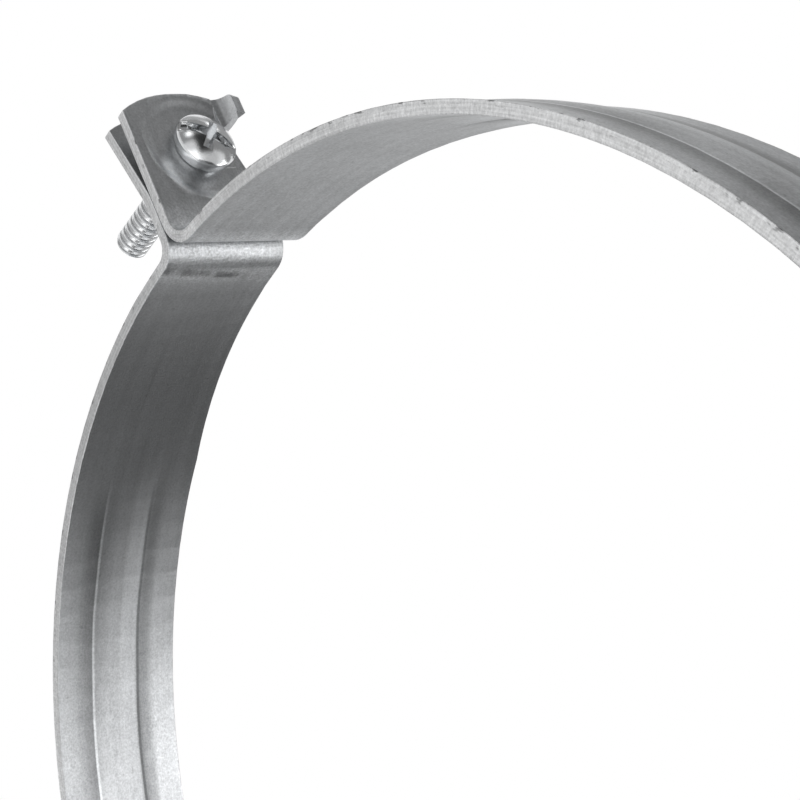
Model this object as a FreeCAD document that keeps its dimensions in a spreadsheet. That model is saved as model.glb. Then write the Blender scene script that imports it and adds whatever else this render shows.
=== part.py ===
import FreeCAD, Part
import math
import os
import re
import Sketcher

doc = FreeCAD.newDocument("pipe_hanger")

# Driving sizes, in millimetres and degrees
sizes = doc.addObject("Spreadsheet::Sheet", "sizes")
driving = [
    # Clamp band
    ("bore_radius", "102.5"),
    ("sheet_thickness", "2.0"),
    ("band_width", "25.0"),
    ("draw_in", "2.0"),
    ("draw_in_run", "12.5"),
    ("base_fold_radius", "2.5"),
    ("cover_fold_radius", "4.0"),
    # Stiffening rib pressed outward along the band
    ("rib_width", "9.0"),
    ("rib_height", "1.0"),
    ("rib_span", "51.0"),
    ("rib_nut_gap", "21.0"),
    ("rib_runout_offset", "28.0"),
    ("rib_bury", "0.12"),
    ("rib_root_depth", "0.5"),
    # Ears
    ("ear_setback", "11.5"),
    ("ear_lean", "12.0"),
    ("ear_lean_radius", "4.0"),
    ("ear_overhang", "11.5"),
    ("ear_tip_radius", "21.0"),
    ("trim_margin", "3.0"),
    # Closure screw
    ("screw_setback", "9.0"),
    ("thread_radius", "3.0"),
    ("screw_length", "28.0"),
    ("tip_chamfer", "0.7"),
    ("seat_collar_radius", "4.6"),
    ("seat_collar_height", "1.4"),
    ("head_radius", "5.5"),
    ("head_side", "1.4"),
    ("head_dome", "1.9"),
    ("drive_slot_width", "2.0"),
    ("drive_slot_depth", "1.7"),
    ("drive_cross_width", "1.5"),
    ("drive_cross_length", "6.2"),
    ("drive_cross_depth", "2.4"),
    ("drive_turn", "122.0"),
    # Tapped collar drawn out of the base ears
    ("tap_clearance", "0.05"),
    ("tap_collar_radius", "4.6"),
    ("tap_collar_height", "2.2"),
    # Pressed cup, side slot and guide lip of the cover ears
    ("cup_depth", "0.8"),
    ("cup_clearance", "3.2"),
    ("cup_rim_radius", "11.8"),
    ("cup_back_floor_radius", "3.2"),
    ("cup_back_rim_radius", "7.2"),
    ("cup_bury", "0.1"),
    ("slot_clearance", "0.35"),
    ("notch_root_gap", "12.1"),
    ("notch_knee_gap", "5.0"),
    ("lip_start", "6.0"),
    ("lip_gap", "6.4"),
    ("lip_width", "4.0"),
    ("lip_flare", "2.1"),
    ("lip_flare_run", "3.2"),
    ("lip_radius", "3.0"),
    ("lip_angle", "75.0"),
    ("lip_corner", "0.9"),
    # Connection nut welded to the base half
    ("nut_flats", "17.0"),
    ("nut_height", "12.0"),
    ("nut_bore_radius", "4.25"),
    ("nut_bore_chamfer", "0.9"),
    ("nut_crown_radius", "8.3"),
    ("nut_crown_drop", "0.9"),
    ("weld_leg", "2.6"),
    ("weld_half_length", "6.0"),
]
# Places along the ear, each from the one before it
derived = [
    ("ear_land", "=bore_radius + ear_setback"),
    ("screw_offset", "=ear_land + screw_setback"),
    ("ear_reach", "=screw_offset + ear_overhang"),
    ("notch_root", "=screw_offset - notch_root_gap"),
    ("notch_knee", "=screw_offset - notch_knee_gap"),
    ("lip_inner", "=screw_offset + lip_gap"),
    ("lip_root", "=lip_inner - lip_flare"),
]
for row, (name, content) in enumerate(driving + derived, start=1):
    sizes.set("A%d" % row, name)
    sizes.set("B%d" % row, content)
    sizes.setAlias("B%d" % row, name)
doc.recompute()
names = {name for name, content in driving + derived}


def tied(text):
    # Puts the sheet's name before each of its sizes in an expression
    return re.sub(r"[a-z_]+", lambda word: "sizes." + word[0] if word[0] in names else word[0], text)


def number_of(text):
    return float(sizes.evalExpression(tied(text)))


def origin_plane(body, role):
    return [item for item in body.Origin.OriginFeatures if item.Role == role][0]


def new_body(label):
    body = doc.addObject("PartDesign::Body", label)
    body.Label = label
    return body


def new_sketch(body, name, role, lift=None, turn=None):
    # lift moves the sketch along its normal, turn swings it about its own X axis
    sketch = body.newObject("Sketcher::SketchObject", name)
    sketch.AttachmentSupport = (origin_plane(body, role), [""])
    sketch.MapMode = "FlatFace"
    if lift:
        sketch.setExpression("AttachmentOffset.Base.z", tied(lift))
    if turn:
        start = FreeCAD.Rotation(FreeCAD.Vector(1, 0, 0), number_of(turn))
        sketch.AttachmentOffset = FreeCAD.Placement(FreeCAD.Vector(0, 0, 0), start)
        sketch.setExpression("AttachmentOffset.Rotation.Angle", tied(turn))
    return sketch


def measure(sketch, kind, where, label, text):
    # Adds a named dimension and ties it to the sheet
    start = number_of(text)
    if kind == "Angle":
        start = math.radians(start)
    index = sketch.addConstraint(Sketcher.Constraint(kind, *where, start))
    sketch.renameConstraint(index, label)
    sketch.setExpression("Constraints." + label, tied(text))


def place(sketch, item, point, label, across, along):
    # Fixes one point by its two coordinates; a plain 0 lays it on the axis
    if across == "0":
        sketch.addConstraint(Sketcher.Constraint("PointOnObject", item, point, -2))
    else:
        measure(sketch, "DistanceX", (-1, 1, item, point), label + "_x", across)
    if along == "0":
        sketch.addConstraint(Sketcher.Constraint("PointOnObject", item, point, -1))
    else:
        measure(sketch, "DistanceY", (-1, 1, item, point), label + "_y", along)


def at(across, along):
    return FreeCAD.Vector(number_of(across), number_of(along), 0)


def add_line(sketch, first, last, guide=False):
    return sketch.addGeometry(Part.LineSegment(first, last), guide)


def add_arc(sketch, centre, radius, first, last):
    circle = Part.Circle(centre, FreeCAD.Vector(0, 0, 1), radius)
    return sketch.addGeometry(Part.ArcOfCircle(circle, first, last), False)


def add_outline(sketch, corners, label):
    # Closed outline of straight lines, each corner tied to the sheet
    points = [at(across, along) for across, along in corners]
    lines = []
    for index, point in enumerate(points):
        lines.append(add_line(sketch, point, points[(index + 1) % len(points)]))
    for index, line in enumerate(lines):
        follower = lines[(index + 1) % len(lines)]
        sketch.addConstraint(Sketcher.Constraint("Coincident", line, 2, follower, 1))
    for index, (across, along) in enumerate(corners):
        place(sketch, lines[index], 1, "%s_%d" % (label, index), across, along)
    return lines


def add_axis(sketch, first, last, label):
    # Guide line that a turned feature takes as its axis
    line = add_line(sketch, at(*first), at(*last), True)
    place(sketch, line, 1, label + "_from", *first)
    place(sketch, line, 2, label + "_to", *last)
    return line


def meet(sketch, first, last):
    sketch.addConstraint(Sketcher.Constraint("Coincident", first, 2, last, 1))


def pad(body, name, sketch, length):
    feature = body.newObject("PartDesign::Pad", name)
    feature.Profile = sketch
    feature.setExpression("Length", tied(length))
    return feature


def symmetric_pad(body, name, sketch, length):
    feature = pad(body, name, sketch, length)
    feature.SideType = "Symmetric"
    return feature


def cut_through(body, name, sketch):
    feature = body.newObject("PartDesign::Pocket", name)
    feature.Profile = sketch
    feature.Type = "ThroughAll"
    feature.SideType = "Symmetric"
    return feature


def turned(body, name, kind, sketch, axis, angle, back=False):
    feature = body.newObject("PartDesign::" + kind, name)
    feature.Profile = sketch
    feature.ReferenceAxis = (sketch, [axis])
    feature.setExpression("Angle", tied(angle))
    feature.Reversed = back
    return feature


def mirror(body, name, features):
    feature = body.newObject("PartDesign::Mirrored", name)
    feature.Originals = features
    feature.MirrorPlane = (origin_plane(body, "YZ_Plane"), [""])
    body.Tip = feature
    return feature


def is_lip_corner(edge):
    # Straight edge across the sheet at the outer free corner of the curled lip
    straight = edge.Curve.TypeId == "Part::GeomLine"
    across = abs(edge.Length - number_of("sheet_thickness")) < 1e-3
    middle = edge.CenterOfMass
    lifted = middle.z < number_of("-sheet_thickness") and middle.x > number_of("lip_inner + lip_width / 2")
    return straight and across and lifted and middle.y > number_of("lip_start")


def edges_where(shape, test):
    return ["Edge%d" % (index + 1) for index, edge in enumerate(shape.Edges) if test(edge)]


# Section of the right side of a band half, across the pipe: band, fold and ear
def half_section(body, name, side, fold, leans):
    sketch = new_sketch(body, name, "XZ_Plane")
    link = sketch.addConstraint
    bore = number_of("bore_radius")
    wall = number_of("sheet_thickness")
    bend = number_of(fold)
    outer = bend + wall
    reach = "ear_reach + trim_margin"
    origin = FreeCAD.Vector(0, 0, 0)
    centre = FreeCAD.Vector(math.sqrt((bore + outer) ** 2 - outer ** 2), side * outer, 0)
    swing = math.atan2(outer, centre.x)
    quarter = math.pi / 2
    if side > 0:
        band_span = (swing, quarter)
        fold_span = (math.pi + swing, 3 * quarter)
        near, far = 1, 2
    else:
        band_span = (-quarter, -swing)
        fold_span = (quarter, math.pi - swing)
        near, far = 2, 1
    inside = add_arc(sketch, origin, bore, *band_span)
    outside = add_arc(sketch, origin, bore + wall, *band_span)
    roll = add_arc(sketch, centre, outer, *fold_span)
    hollow = add_arc(sketch, centre, bend, *fold_span)
    land_end = at("ear_land" if leans else reach, "0")
    back_end = FreeCAD.Vector(land_end.x, side * wall, 0)
    middle = add_line(sketch, FreeCAD.Vector(0, side * (bore + wall), 0), FreeCAD.Vector(0, side * bore, 0))
    land = add_line(sketch, FreeCAD.Vector(centre.x, 0, 0), land_end)
    back = add_line(sketch, back_end, FreeCAD.Vector(centre.x, side * wall, 0))
    for item in (inside, outside):
        link(Sketcher.Constraint("Coincident", item, 3, -1, 1))
        link(Sketcher.Constraint("PointOnObject", item, far, -2))
    link(Sketcher.Constraint("Coincident", roll, 3, hollow, 3))
    link(Sketcher.Constraint("Tangent", inside, near, roll, near))
    link(Sketcher.Constraint("Tangent", outside, near, hollow, near))
    link(Sketcher.Constraint("Tangent", roll, far, land, 1))
    link(Sketcher.Constraint("Tangent", hollow, far, back, 2))
    link(Sketcher.Constraint("PointOnObject", land, 1, -1))
    link(Sketcher.Constraint("PointOnObject", land, 2, -1))
    link(Sketcher.Constraint("Coincident", middle, 1, outside, far))
    link(Sketcher.Constraint("Coincident", middle, 2, inside, far))
    measure(sketch, "Radius", (inside,), "bore", "bore_radius")
    measure(sketch, "Radius", (hollow,), "fold", fold)
    measure(sketch, "Radius", (roll,), "fold_outer", fold + " + sheet_thickness")
    if not leans:
        end = add_line(sketch, land_end, back_end)
        meet(sketch, land, end)
        meet(sketch, end, back)
        link(Sketcher.Constraint("Vertical", end))
        link(Sketcher.Constraint("Horizontal", back))
        measure(sketch, "DistanceX", (-1, 1, land, 2), "reach", reach)
        return sketch
    lean = math.radians(number_of("ear_lean"))
    knee = at("ear_land", "ear_lean_radius + sheet_thickness")
    knee_span = (3 * quarter, 3 * quarter + lean)
    knee_roll = add_arc(sketch, knee, knee.y, *knee_span)
    knee_hollow = add_arc(sketch, knee, knee.y - wall, *knee_span)
    way = FreeCAD.Vector(math.cos(lean), math.sin(lean), 0)
    up = FreeCAD.Vector(-way.y, way.x, 0)
    low = knee - up * knee.y
    tip = low + way * ((number_of(reach) - low.x) / way.x)
    face = add_line(sketch, low, tip)
    end = add_line(sketch, tip, tip + up * wall)
    rear = add_line(sketch, tip + up * wall, low + up * wall)
    link(Sketcher.Constraint("Coincident", knee_roll, 3, knee_hollow, 3))
    link(Sketcher.Constraint("Tangent", land, 2, knee_roll, 1))
    link(Sketcher.Constraint("Tangent", back, 1, knee_hollow, 1))
    link(Sketcher.Constraint("Tangent", knee_roll, 2, face, 1))
    link(Sketcher.Constraint("Tangent", knee_hollow, 2, rear, 2))
    meet(sketch, face, end)
    meet(sketch, end, rear)
    link(Sketcher.Constraint("Perpendicular", face, end))
    link(Sketcher.Constraint("Parallel", face, rear))
    measure(sketch, "DistanceX", (-1, 1, land, 2), "land", "ear_land")
    measure(sketch, "Radius", (knee_hollow,), "knee", "ear_lean_radius")
    measure(sketch, "Radius", (knee_roll,), "knee_outer", "ear_lean_radius + sheet_thickness")
    measure(sketch, "DistanceX", (-1, 1, face, 2), "reach", reach)
    measure(sketch, "Angle", (face,), "lean", "ear_lean")
    return sketch


# Rounds the end of an ear in plan
def trim_tip(body, name):
    sketch = new_sketch(body, name + "_outline", "XY_Plane")
    edge = "band_width / 2 + trim_margin"
    far = "ear_reach + 2 * trim_margin"
    middle = "ear_reach - ear_tip_radius"
    half = number_of(edge)
    radius = number_of("ear_tip_radius")
    turn = math.asin(half / radius)
    root = number_of(middle) + radius * math.cos(turn)
    corner = number_of(far)
    arc = add_arc(sketch, at(middle, "0"), radius, -turn, turn)
    high = add_line(sketch, FreeCAD.Vector(root, half, 0), FreeCAD.Vector(corner, half, 0))
    side = add_line(sketch, FreeCAD.Vector(corner, half, 0), FreeCAD.Vector(corner, -half, 0))
    low = add_line(sketch, FreeCAD.Vector(corner, -half, 0), FreeCAD.Vector(root, -half, 0))
    meet(sketch, arc, high)
    meet(sketch, high, side)
    meet(sketch, side, low)
    meet(sketch, low, arc)
    measure(sketch, "Radius", (arc,), "round", "ear_tip_radius")
    place(sketch, arc, 3, "middle", middle, "0")
    place(sketch, high, 2, "corner", far, edge)
    sketch.addConstraint(Sketcher.Constraint("Horizontal", high))
    sketch.addConstraint(Sketcher.Constraint("Horizontal", low))
    sketch.addConstraint(Sketcher.Constraint("Symmetric", side, 1, side, 2, -1))
    return cut_through(body, name, sketch)


# Draws in the far side of the strip towards the ear
def draw_in_far_side(body, name):
    sketch = new_sketch(body, name + "_outline", "XY_Plane")
    edge = "band_width / 2"
    start = "bore_radius - draw_in_run"
    far = "ear_reach + 2 * trim_margin"
    add_outline(sketch, [
        (start, edge),
        ("bore_radius", edge + " - draw_in"),
        (far, edge + " - draw_in"),
        (far, edge + " + trim_margin"),
        (start, edge + " + trim_margin"),
    ], "corner")
    return cut_through(body, name, sketch)


# Arched rib section in a plane through the pipe axis, from its foot up to an arch that springs at skin
def rib_section(body, name, turn, side, skin, foot, runs_out):
    sketch = new_sketch(body, name, "YZ_Plane", None, turn)
    sign = "" if side > 0 else "-"
    half = "rib_width / 2"
    less = "-rib_width / 2"
    spring = "%s(%s)" % (sign, skin)
    base = "%s(%s)" % (sign, foot)
    bow = "((rib_width / 2) ^ 2 + rib_height ^ 2) / (2 * rib_height)"
    radius = number_of(bow)
    centre = FreeCAD.Vector(0, side * (number_of(skin) + number_of("rib_height") - radius), 0)
    spread = math.asin(number_of(half) / radius)
    quarter = side * math.pi / 2
    arch = add_arc(sketch, centre, radius, quarter - spread, quarter + spread)
    right, left = (1, 2) if side > 0 else (2, 1)
    fall = add_line(sketch, at(less, spring), at(less, base))
    floor = add_line(sketch, at(less, base), at(half, base))
    rise = add_line(sketch, at(half, base), at(half, spring))
    sketch.addConstraint(Sketcher.Constraint("Coincident", arch, left, fall, 1))
    meet(sketch, fall, floor)
    meet(sketch, floor, rise)
    sketch.addConstraint(Sketcher.Constraint("Coincident", rise, 2, arch, right))
    place(sketch, fall, 1, "left", less, spring)
    place(sketch, rise, 1, "right", half, base)
    sketch.addConstraint(Sketcher.Constraint("Vertical", fall))
    sketch.addConstraint(Sketcher.Constraint("Vertical", rise))
    sketch.addConstraint(Sketcher.Constraint("Horizontal", floor))
    sketch.addConstraint(Sketcher.Constraint("PointOnObject", arch, 3, -2))
    measure(sketch, "Radius", (arch,), "bow", bow)
    if runs_out:
        away = "%s(rib_runout_offset)" % sign
        add_axis(sketch, (less, away), (half, away), "axis")
    return sketch


# One stretch of rib: the bulge outside the band and the hollow inside it
def rib_stretch(body, name, turn, side, angle, back, runs_out):
    axis = "Axis0" if runs_out else "H_Axis"
    skin = "bore_radius + sheet_thickness"
    core = "bore_radius + sheet_thickness - rib_root_depth"
    bulge = rib_section(body, name + "_bulge_section", turn, side, skin, core, runs_out)
    swell = turned(body, name + "_bulge", "Revolution", bulge, axis, angle, back)
    clear = "bore_radius - 2 * rib_height"
    hollow = rib_section(body, name + "_hollow_section", turn, side, "bore_radius", clear, runs_out)
    return swell, turned(body, name + "_hollow", "Groove", hollow, axis, angle, back)


# Angle in which a rib that turns about its own offset axis sinks into the band
crest = "(bore_radius + sheet_thickness + rib_height)"
sink = "(rib_height + rib_bury) * %s / (rib_runout_offset * (%s - rib_runout_offset))" % (crest, crest)
runout_angle = "acos(1 - %s)" % sink


# Ring section of a pressed cup round the screw, flat to its floor, then an even double curve to its rim
def cup_section(body, name, floor, rim, top, low, foot):
    sketch = new_sketch(body, name, "XZ_Plane")
    inner = "screw_offset + " + floor
    outer = "screw_offset + " + rim
    start = at(inner, top)
    finish = at(outer, low)
    reach = finish.x - start.x
    drop = start.y - finish.y
    radius = (reach ** 2 + drop ** 2) / (4 * drop)
    lean = math.asin(reach / (2 * radius))
    quarter = math.pi / 2
    flat = add_line(sketch, at("screw_offset", top), start)
    brow = add_arc(sketch, start - FreeCAD.Vector(0, radius, 0), radius, quarter - lean, quarter)
    sweep = add_arc(sketch, finish + FreeCAD.Vector(0, radius, 0), radius, 3 * quarter - lean, 3 * quarter)
    side = add_line(sketch, finish, at(outer, foot))
    under = add_line(sketch, at(outer, foot), at("screw_offset", foot))
    middle = add_line(sketch, at("screw_offset", foot), at("screw_offset", top))
    link = sketch.addConstraint
    link(Sketcher.Constraint("Tangent", flat, 2, brow, 2))
    link(Sketcher.Constraint("Tangent", brow, 1, sweep, 1))
    link(Sketcher.Constraint("Equal", brow, sweep))
    link(Sketcher.Constraint("Vertical", sweep, 3, sweep, 2))
    link(Sketcher.Constraint("Coincident", sweep, 2, side, 1))
    meet(sketch, side, under)
    meet(sketch, under, middle)
    meet(sketch, middle, flat)
    link(Sketcher.Constraint("Horizontal", flat))
    link(Sketcher.Constraint("Vertical", side))
    link(Sketcher.Constraint("Horizontal", under))
    link(Sketcher.Constraint("Vertical", middle))
    place(sketch, flat, 2, "floor", inner, top)
    place(sketch, side, 1, "rim", outer, low)
    place(sketch, middle, 1, "foot", "screw_offset", foot)
    add_axis(sketch, ("screw_offset", foot), ("screw_offset", top), "axis")
    return sketch


# Round hole for the screw, at the right or left ear
def screw_hole(body, name, side, radius):
    sketch = new_sketch(body, name + "_outline", "XY_Plane")
    offset = "screw_offset" if side > 0 else "-screw_offset"
    circle = Part.Circle(at(offset, "0"), FreeCAD.Vector(0, 0, 1), number_of(radius))
    hole = sketch.addGeometry(circle, False)
    place(sketch, hole, 3, "middle", offset, "0")
    measure(sketch, "Radius", (hole,), "round", radius)
    return sketch


# Base half: band, leaning ears with drawn and tapped collars, rib that stops short of the nut
base = new_body("base_half")
base_section = half_section(base, "base_section", 1, "base_fold_radius", True)
base_features = [symmetric_pad(base, "base_strip", base_section, "band_width")]
base_features.append(trim_tip(base, "base_tip"))
base_features.append(draw_in_far_side(base, "base_draw_in"))
base_features += rib_stretch(base, "base_rib", "rib_nut_gap", 1, "rib_span - rib_nut_gap", False, False)
base_features += rib_stretch(base, "base_ear_runout", "rib_span", 1, runout_angle, False, True)
base_features += rib_stretch(base, "base_nut_runout", "rib_nut_gap", 1, runout_angle, True, True)
collar_outline = screw_hole(base, "tap_collar", 1, "tap_collar_radius")
collar_start = "(screw_offset + tap_collar_radius - ear_land) * tan(ear_lean)"
collar_outline.setExpression("AttachmentOffset.Base.z", tied(collar_start))
base_features.append(pad(base, "tap_collar", collar_outline, "sheet_thickness + tap_collar_height"))
tap = screw_hole(base, "tap_hole", 1, "thread_radius + tap_clearance")
base_features.append(cut_through(base, "tap_hole", tap))
mirror(base, "base_left", base_features)

# Cover half: band with a rib right round it and straight ears with a pressed cup round each screw
cover = new_body("cover_half")
cover_section = half_section(cover, "cover_section", -1, "cover_fold_radius", False)
cover_features = [symmetric_pad(cover, "cover_strip", cover_section, "band_width")]
cover_features.append(trim_tip(cover, "cover_tip"))
cover_features.append(draw_in_far_side(cover, "cover_draw_in"))
cover_features += rib_stretch(cover, "cover_rib", "0", -1, "rib_span", True, False)
cover_features += rib_stretch(cover, "cover_ear_runout", "-rib_span", -1, runout_angle, True, True)
cup_back = cup_section(cover, "cup_back_section", "cup_back_floor_radius", "cup_back_rim_radius",
                       "cup_depth", "-cup_bury", "-sheet_thickness / 2")
cover_features.append(turned(cover, "cup_back", "Revolution", cup_back, "Axis0", "360"))
cup_front = cup_section(cover, "cup_front_section", "seat_collar_radius + cup_clearance", "cup_rim_radius",
                        "cup_depth - sheet_thickness", "-sheet_thickness - cup_bury",
                        "-sheet_thickness - trim_margin")
cover_features.append(turned(cover, "cup_front", "Groove", cup_front, "Axis0", "360"))
mirror(cover, "cover_left", cover_features)

# Left ear of the cover: plain clearance hole
cut_through(cover, "left_hole", screw_hole(cover, "left_hole", -1, "thread_radius + slot_clearance"))

# Right ear of the cover: notched far side, slot that lets the screw swing in, curled guide lip
notch = new_sketch(cover, "notch_outline", "XY_Plane")
notch_edge = "band_width / 2 + trim_margin"
notch_slope = "(notch_knee - notch_root) / (band_width / 2 - lip_start)"
add_outline(notch, [
    ("notch_root - trim_margin * %s" % notch_slope, notch_edge),
    ("notch_knee", "lip_start"),
    ("ear_reach + trim_margin", "lip_start"),
    ("ear_reach + trim_margin", notch_edge),
], "corner")
cut_through(cover, "notch", notch)
cut_through(cover, "right_hole", screw_hole(cover, "right_hole", 1, "thread_radius + slot_clearance"))
slot = new_sketch(cover, "slot_outline", "XY_Plane")
slot_half = "(thread_radius + slot_clearance)"
add_outline(slot, [
    ("screw_offset - %s" % slot_half, "0"),
    ("screw_offset + %s" % slot_half, "0"),
    ("screw_offset + %s" % slot_half, notch_edge),
    ("screw_offset - %s" % slot_half, notch_edge),
], "corner")
cut_through(cover, "slot", slot)
lip = new_sketch(cover, "lip_section", "XZ_Plane", "-lip_start")
add_outline(lip, [
    ("lip_root", "0"),
    ("lip_inner + lip_width", "0"),
    ("lip_inner + lip_width", "-sheet_thickness"),
    ("lip_root", "-sheet_thickness"),
], "corner")
curl = "-sheet_thickness - lip_radius"
add_axis(lip, ("lip_root", curl), ("lip_inner + lip_width", curl), "axis")
turned(cover, "lip", "Revolution", lip, "Axis0", "lip_angle", True)

# Slanted inner side of the lip, cut square to the sheet halfway round its curl
flare = new_sketch(cover, "lip_flare_outline", "XY_Plane", turn="180 - lip_angle / 2")
curl_along = "-(lip_start * cos(lip_angle / 2) + (sheet_thickness + lip_radius) * sin(lip_angle / 2))"
add_outline(flare, [
    ("lip_root", curl_along + " + lip_flare_run / 2"),
    ("lip_inner", curl_along + " - lip_flare_run / 2"),
    ("lip_inner", curl_along + " - lip_flare_run / 2 - trim_margin"),
    ("lip_root", curl_along + " - lip_flare_run / 2 - trim_margin"),
], "corner")
curled = cut_through(cover, "lip_flare_cut", flare)
doc.recompute()

# Rounded outer corner of the lip
lip_edges = edges_where(curled.Shape, is_lip_corner)
lip_round = cover.newObject("PartDesign::Fillet", "lip_round")
lip_round.Base = (curled, lip_edges)
lip_round.setExpression("Radius", tied("lip_corner"))
doc.recompute()


# Closure screw: combined slot and cross drive, domed head on a narrower seat collar, chamfered tip
seat = "cup_depth - sheet_thickness"
shoulder = "(%s - seat_collar_height)" % seat
brim = "(%s - head_side)" % shoulder
summit = "(%s - head_dome)" % brim
end = "(%s + screw_length)" % seat


def drive_recess(body, name, corners, depth):
    sketch = new_sketch(body, name + "_outline", "XY_Plane", summit)
    add_outline(sketch, corners, "corner")
    feature = body.newObject("PartDesign::Pocket", name)
    feature.Profile = sketch
    feature.Reversed = True
    feature.setExpression("Length", tied(depth))
    return feature


def closure_screw(label, offset):
    body = new_body(label)
    sketch = new_sketch(body, label + "_section", "XZ_Plane")
    dome_radius = "(head_radius ^ 2 + head_dome ^ 2) / (2 * head_dome)"
    corners = [
        ("0", end),
        ("thread_radius - tip_chamfer", end),
        ("thread_radius", "%s - tip_chamfer" % end),
        ("thread_radius", seat),
        ("seat_collar_radius", seat),
        ("seat_collar_radius", shoulder),
        ("head_radius", shoulder),
        ("head_radius", brim),
    ]
    points = [at(across, along) for across, along in corners]
    lines = []
    for first, last in zip(points, points[1:]):
        lines.append(add_line(sketch, first, last))
    for first, last in zip(lines, lines[1:]):
        meet(sketch, first, last)
    for index, line in enumerate(lines):
        place(sketch, line, 1, "corner_%d" % index, *corners[index])
    place(sketch, lines[-1], 2, "brim", *corners[-1])
    radius = number_of(dome_radius)
    centre = at("0", "%s + %s" % (summit, dome_radius))
    spread = math.asin(number_of("head_radius") / radius)
    dome = add_arc(sketch, centre, radius, -math.pi / 2, -math.pi / 2 + spread)
    spine = add_line(sketch, at("0", summit), at("0", end))
    sketch.addConstraint(Sketcher.Constraint("Coincident", lines[-1], 2, dome, 2))
    sketch.addConstraint(Sketcher.Constraint("Coincident", dome, 1, spine, 1))
    sketch.addConstraint(Sketcher.Constraint("Coincident", spine, 2, lines[0], 1))
    place(sketch, spine, 1, "summit", "0", summit)
    sketch.addConstraint(Sketcher.Constraint("PointOnObject", dome, 3, -2))
    turned(body, label + "_blank", "Revolution", sketch, "V_Axis", "360")
    half = "drive_slot_width / 2"
    run = "head_radius + trim_margin"
    drive_recess(body, label + "_slot", [
        ("-(%s)" % run, "-(%s)" % half),
        (run, "-(%s)" % half),
        (run, half),
        ("-(%s)" % run, half),
    ], "drive_slot_depth")
    arm = "drive_cross_length / 2"
    leg = "drive_cross_width / 2"
    drive_recess(body, label + "_cross", [
        (arm, "-(%s)" % leg), (arm, leg), (leg, leg), (leg, arm), ("-(%s)" % leg, arm), ("-(%s)" % leg, leg),
        ("-(%s)" % arm, leg), ("-(%s)" % arm, "-(%s)" % leg), ("-(%s)" % leg, "-(%s)" % leg),
        ("-(%s)" % leg, "-(%s)" % arm), (leg, "-(%s)" % arm), (leg, "-(%s)" % leg),
    ], "drive_cross_depth")
    turn = FreeCAD.Rotation(FreeCAD.Vector(0, 0, 1), number_of("drive_turn"))
    body.Placement = FreeCAD.Placement(FreeCAD.Vector(number_of(offset), 0, 0), turn)
    body.setExpression("Placement.Base.x", tied(offset))
    body.setExpression("Placement.Rotation.Angle", tied("drive_turn"))
    return body


right_screw = closure_screw("closure_screw_right", "screw_offset")
left_screw = closure_screw("closure_screw_left", "-screw_offset")

# Connection nut: hexagon with a chamfered crown, weld beads along two flats, saddle cut to the band
nut = new_body("connection_nut")
hexagon = new_sketch(nut, "nut_outline", "XY_Plane", "bore_radius")
flat = "nut_flats / 2"
point = "nut_flats / sqrt(3)"
add_outline(hexagon, [
    (flat, "-(%s) / 2" % point),
    (flat, "(%s) / 2" % point),
    ("0", point),
    ("-(%s)" % flat, "(%s) / 2" % point),
    ("-(%s)" % flat, "-(%s) / 2" % point),
    ("0", "-(%s)" % point),
], "corner")
pad(nut, "nut_blank", hexagon, "sheet_thickness + nut_height")
nut_top = "bore_radius + sheet_thickness + nut_height"
crown = new_sketch(nut, "crown_section", "XZ_Plane")
crown_out = "2 * (%s) - nut_crown_radius" % point
add_outline(crown, [
    ("nut_crown_radius", nut_top),
    (crown_out, "%s - 2 * nut_crown_drop" % nut_top),
    (crown_out, nut_top),
], "corner")
turned(nut, "nut_crown", "Groove", crown, "V_Axis", "360")
for name, sign in (("weld_right", ""), ("weld_left", "-")):
    bead = new_sketch(nut, name + "_section", "XY_Plane", "bore_radius + sheet_thickness")
    root = "%s(%s)" % (sign, flat)
    toe = "%s(%s + weld_leg)" % (sign, flat)
    add_outline(bead, [
        (root, "-weld_half_length"),
        (toe, "weld_leg - weld_half_length"),
        (toe, "weld_half_length - weld_leg"),
        (root, "weld_half_length"),
    ], "corner")
    add_axis(bead, (root, "-weld_half_length"), (root, "weld_half_length"), "axis")
    turned(nut, name, "Revolution", bead, "Axis0", "360")
saddle = new_sketch(nut, "saddle_outline", "XZ_Plane")
seat_circle = Part.Circle(FreeCAD.Vector(0, 0, 0), FreeCAD.Vector(0, 0, 1), number_of("bore_radius + sheet_thickness"))
ring = saddle.addGeometry(seat_circle, False)
place(saddle, ring, 3, "middle", "0", "0")
measure(saddle, "Radius", (ring,), "seat", "bore_radius + sheet_thickness")
cut_through(nut, "nut_saddle", saddle)
bore = new_sketch(nut, "nut_bore_outline", "XY_Plane")
bore_circle = Part.Circle(FreeCAD.Vector(0, 0, 0), FreeCAD.Vector(0, 0, 1), number_of("nut_bore_radius"))
ring = bore.addGeometry(bore_circle, False)
place(bore, ring, 3, "middle", "0", "0")
measure(bore, "Radius", (ring,), "round", "nut_bore_radius")
nut_bore = cut_through(nut, "nut_bore", bore)
doc.recompute()


def is_bore_mouth(edge):
    high = abs(edge.CenterOfMass.z - number_of(nut_top)) < 1e-3
    return high and abs(edge.Length - 2 * math.pi * number_of("nut_bore_radius")) < 1e-3


mouth = nut.newObject("PartDesign::Chamfer", "nut_mouth")
mouth.Base = (nut_bore, edges_where(nut_bore.Shape, is_bore_mouth))
mouth.setExpression("Size", tied("nut_bore_chamfer"))
doc.recompute()

# Checks and export
parts = [base, cover, right_screw, left_screw, nut]
for item in doc.Objects:
    if "Invalid" in item.State or "Error" in item.State:
        raise RuntimeError("%s did not build: %s" % (item.Label, item.State))
os.makedirs("parts", exist_ok=True)
for item in parts:
    if item.Shape.isNull() or not item.Shape.isValid() or len(item.Shape.Solids) != 1:
        raise RuntimeError("%s is not one valid solid" % item.Label)
    item.Shape.exportStep("parts/%s.step" % item.Label)
    print(item.Label, round(item.Shape.Volume, 1), len(item.Shape.Faces))
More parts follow.
